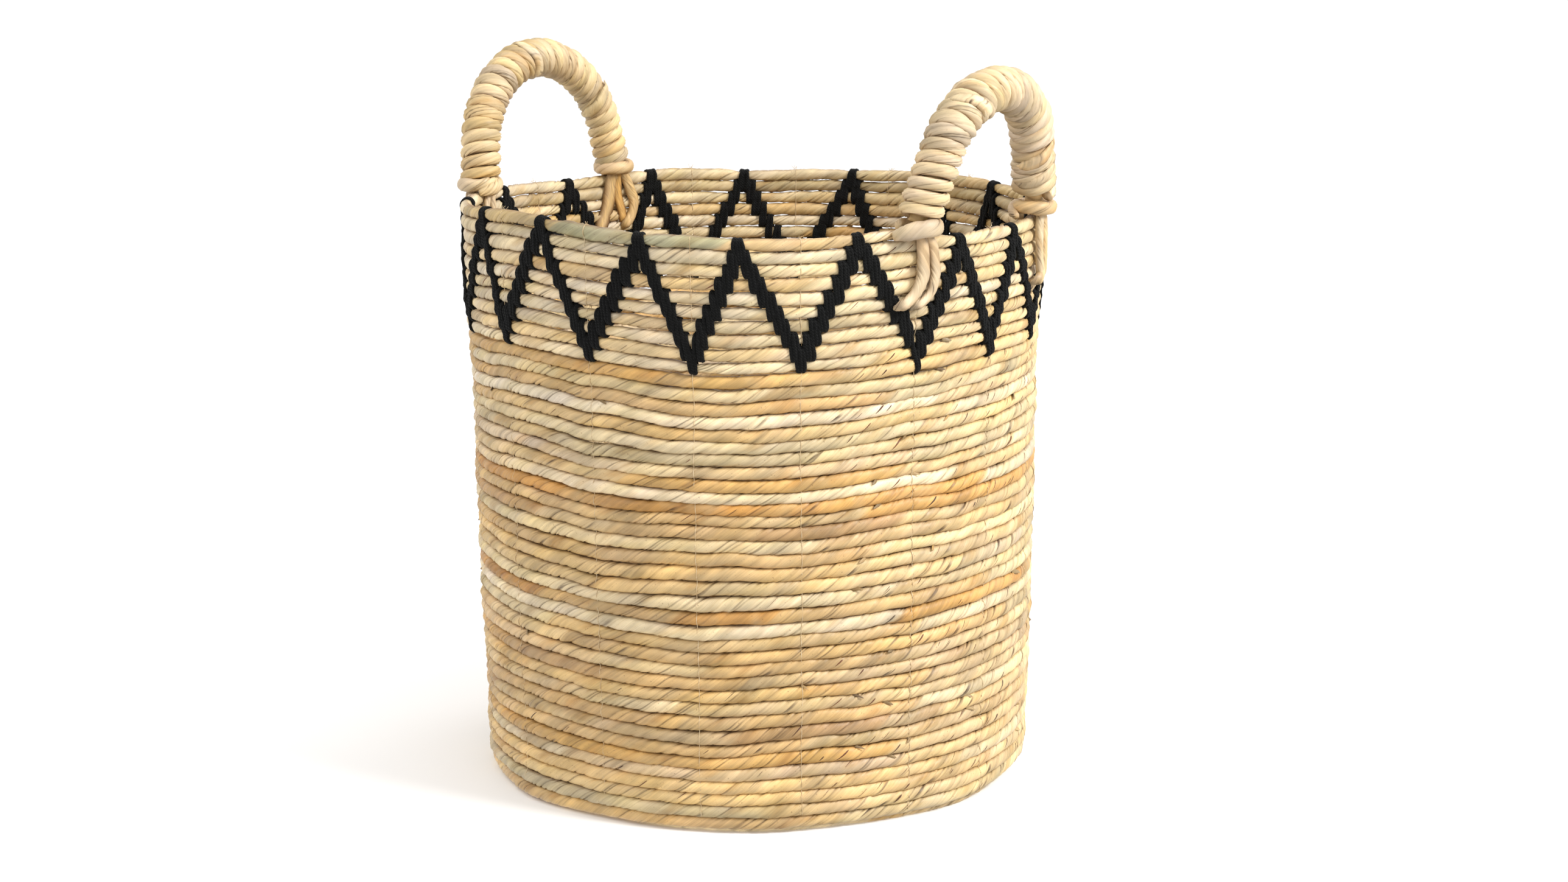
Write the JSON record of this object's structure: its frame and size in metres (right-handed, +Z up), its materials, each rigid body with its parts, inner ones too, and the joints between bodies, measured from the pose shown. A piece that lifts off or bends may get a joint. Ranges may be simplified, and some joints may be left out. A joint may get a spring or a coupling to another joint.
{
  "type": "laundry basket",
  "caption": "Round coiled-rope laundry basket, open at the top, with a band laced in a yarn zigzag and arched, wrapped rope handles that tilt at the rim.",
  "frame": {"origin": "centre of the flat underside, on the surface the basket stands on", "axes": "+Z up the basket's axis; the handles stand at +X (right) and -X (left)"},
  "size_m": [0.4219, 0.4024, 0.4959],
  "materials": {
    "leaf_rope": "twisted dry leaf, satin with fine fibres along the twist",
    "amber_rope": "twisted dry leaf in a darker orange brown, satin",
    "band_rope": "twisted dry leaf, pale, satin",
    "handle_rope": "twisted dry leaf wrapped in close turns, satin",
    "tie_rope": "twisted and folded dry leaf strands, satin",
    "black_yarn": "thick matt cotton yarn of several plies, slightly fuzzy",
    "nylon_thread": "clear nylon thread, glossy"
  },
  "bodies": {
    "root": {"base_coil": "leaf_rope", "lower_wall": "leaf_rope", "amber_row_lower": "amber_rope", "middle_wall": "leaf_rope", "amber_row_upper": "amber_rope", "upper_wall": "leaf_rope", "band_row_10": "band_rope", "band_row_9": "band_rope", "band_row_8": "band_rope", "band_row_7": "band_rope", "band_row_6": "band_rope", "band_row_5": "band_rope", "band_row_4": "band_rope", "band_row_3": "band_rope", "band_row_2": "band_rope", "rim_row": "band_rope", "yarn_peak_1": "black_yarn", "yarn_peak_2": "black_yarn", "yarn_peak_3": "black_yarn", "yarn_peak_4": "black_yarn", "yarn_peak_5": "black_yarn", "yarn_peak_6": "black_yarn", "yarn_peak_7": "black_yarn", "yarn_peak_8": "black_yarn", "yarn_peak_9": "black_yarn", "yarn_peak_10": "black_yarn", "yarn_peak_11": "black_yarn", "yarn_peak_12": "black_yarn", "yarn_peak_13": "black_yarn", "yarn_peak_14": "black_yarn", "yarn_peak_15": "black_yarn", "yarn_peak_16": "black_yarn", "yarn_peak_17": "black_yarn", "sewing_thread": "nylon_thread", "tie_right_front": "tie_rope", "tie_right_back": "tie_rope", "tie_left_front": "tie_rope", "tie_left_back": "tie_rope"},
    "handle_right": {"handle_right_core": "tie_rope", "handle_right_wrap": "handle_rope", "handle_right_collars": "handle_rope"},
    "handle_left": {"handle_left_core": "tie_rope", "handle_left_wrap": "handle_rope", "handle_left_collars": "handle_rope"}
  },
  "joints": [
    {"name": "handle_right_tilt", "type": "hinge", "parent": "root", "child": "handle_right", "pos_m": [0.18446, 0, 0.38769], "axis": [0, 1, 0], "range_deg": [-25, 25], "stiffness_Nm_per_rad": 1},
    {"name": "handle_left_tilt", "type": "hinge", "parent": "root", "child": "handle_left", "pos_m": [-0.1819, -0.00635, 0.38769], "axis": [0.0349, -0.9994, 0], "range_deg": [-25, 25], "stiffness_Nm_per_rad": 1}
  ]
}
